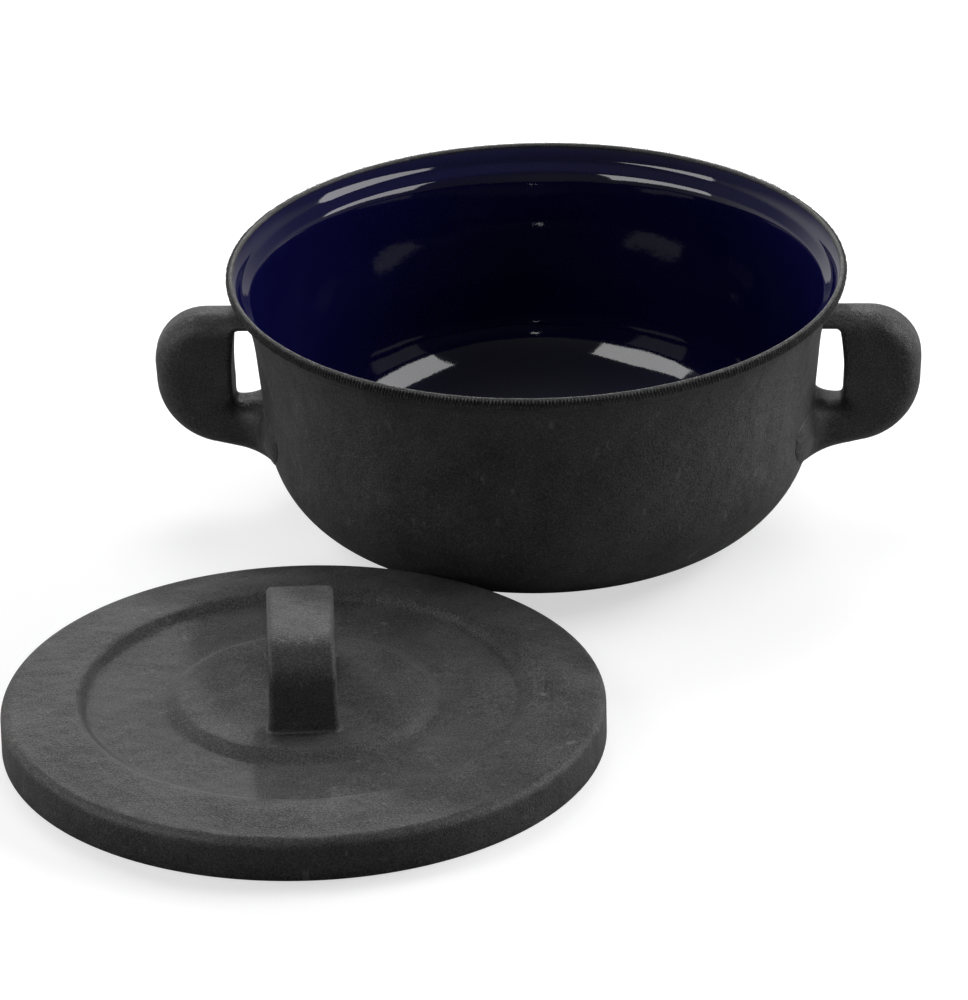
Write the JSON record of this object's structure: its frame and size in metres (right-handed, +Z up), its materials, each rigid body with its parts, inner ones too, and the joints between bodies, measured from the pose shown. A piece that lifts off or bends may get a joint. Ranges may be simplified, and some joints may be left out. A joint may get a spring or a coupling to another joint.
{
  "type": "enamelled steel casserole with lid",
  "caption": "Low round enamelled steel cooking pot with two ear handles and a flat lift-off lid with a strap handle, the lid lying beside the pot.",
  "frame": {"origin": "on the pot's axis, where it meets the floor that the pot and its lid stand on", "axes": "+Z up along the pot's axis, +X through the right handle, -Y towards the side where the lid lies"},
  "size_m": [0.3429, 0.4255, 0.103],
  "materials": {
    "outer_enamel": "matte charcoal-black vitreous enamel with a fine grain",
    "inner_enamel": "glossy deep cobalt-blue vitreous enamel"
  },
  "bodies": {
    "pot": {"pot_body": "outer_enamel", "pot_lining": "inner_enamel", "right_handle": "outer_enamel", "left_handle": "outer_enamel"},
    "lid": {"lid_body": "outer_enamel", "lid_lining": "inner_enamel", "lid_handle": "outer_enamel"}
  },
  "joints": [
    {"name": "lid_lift", "type": "slide", "parent": "pot", "child": "lid", "axis": [-0.2763, -0.6509, 0.7071], "range_m": [0, 0.15]}
  ]
}
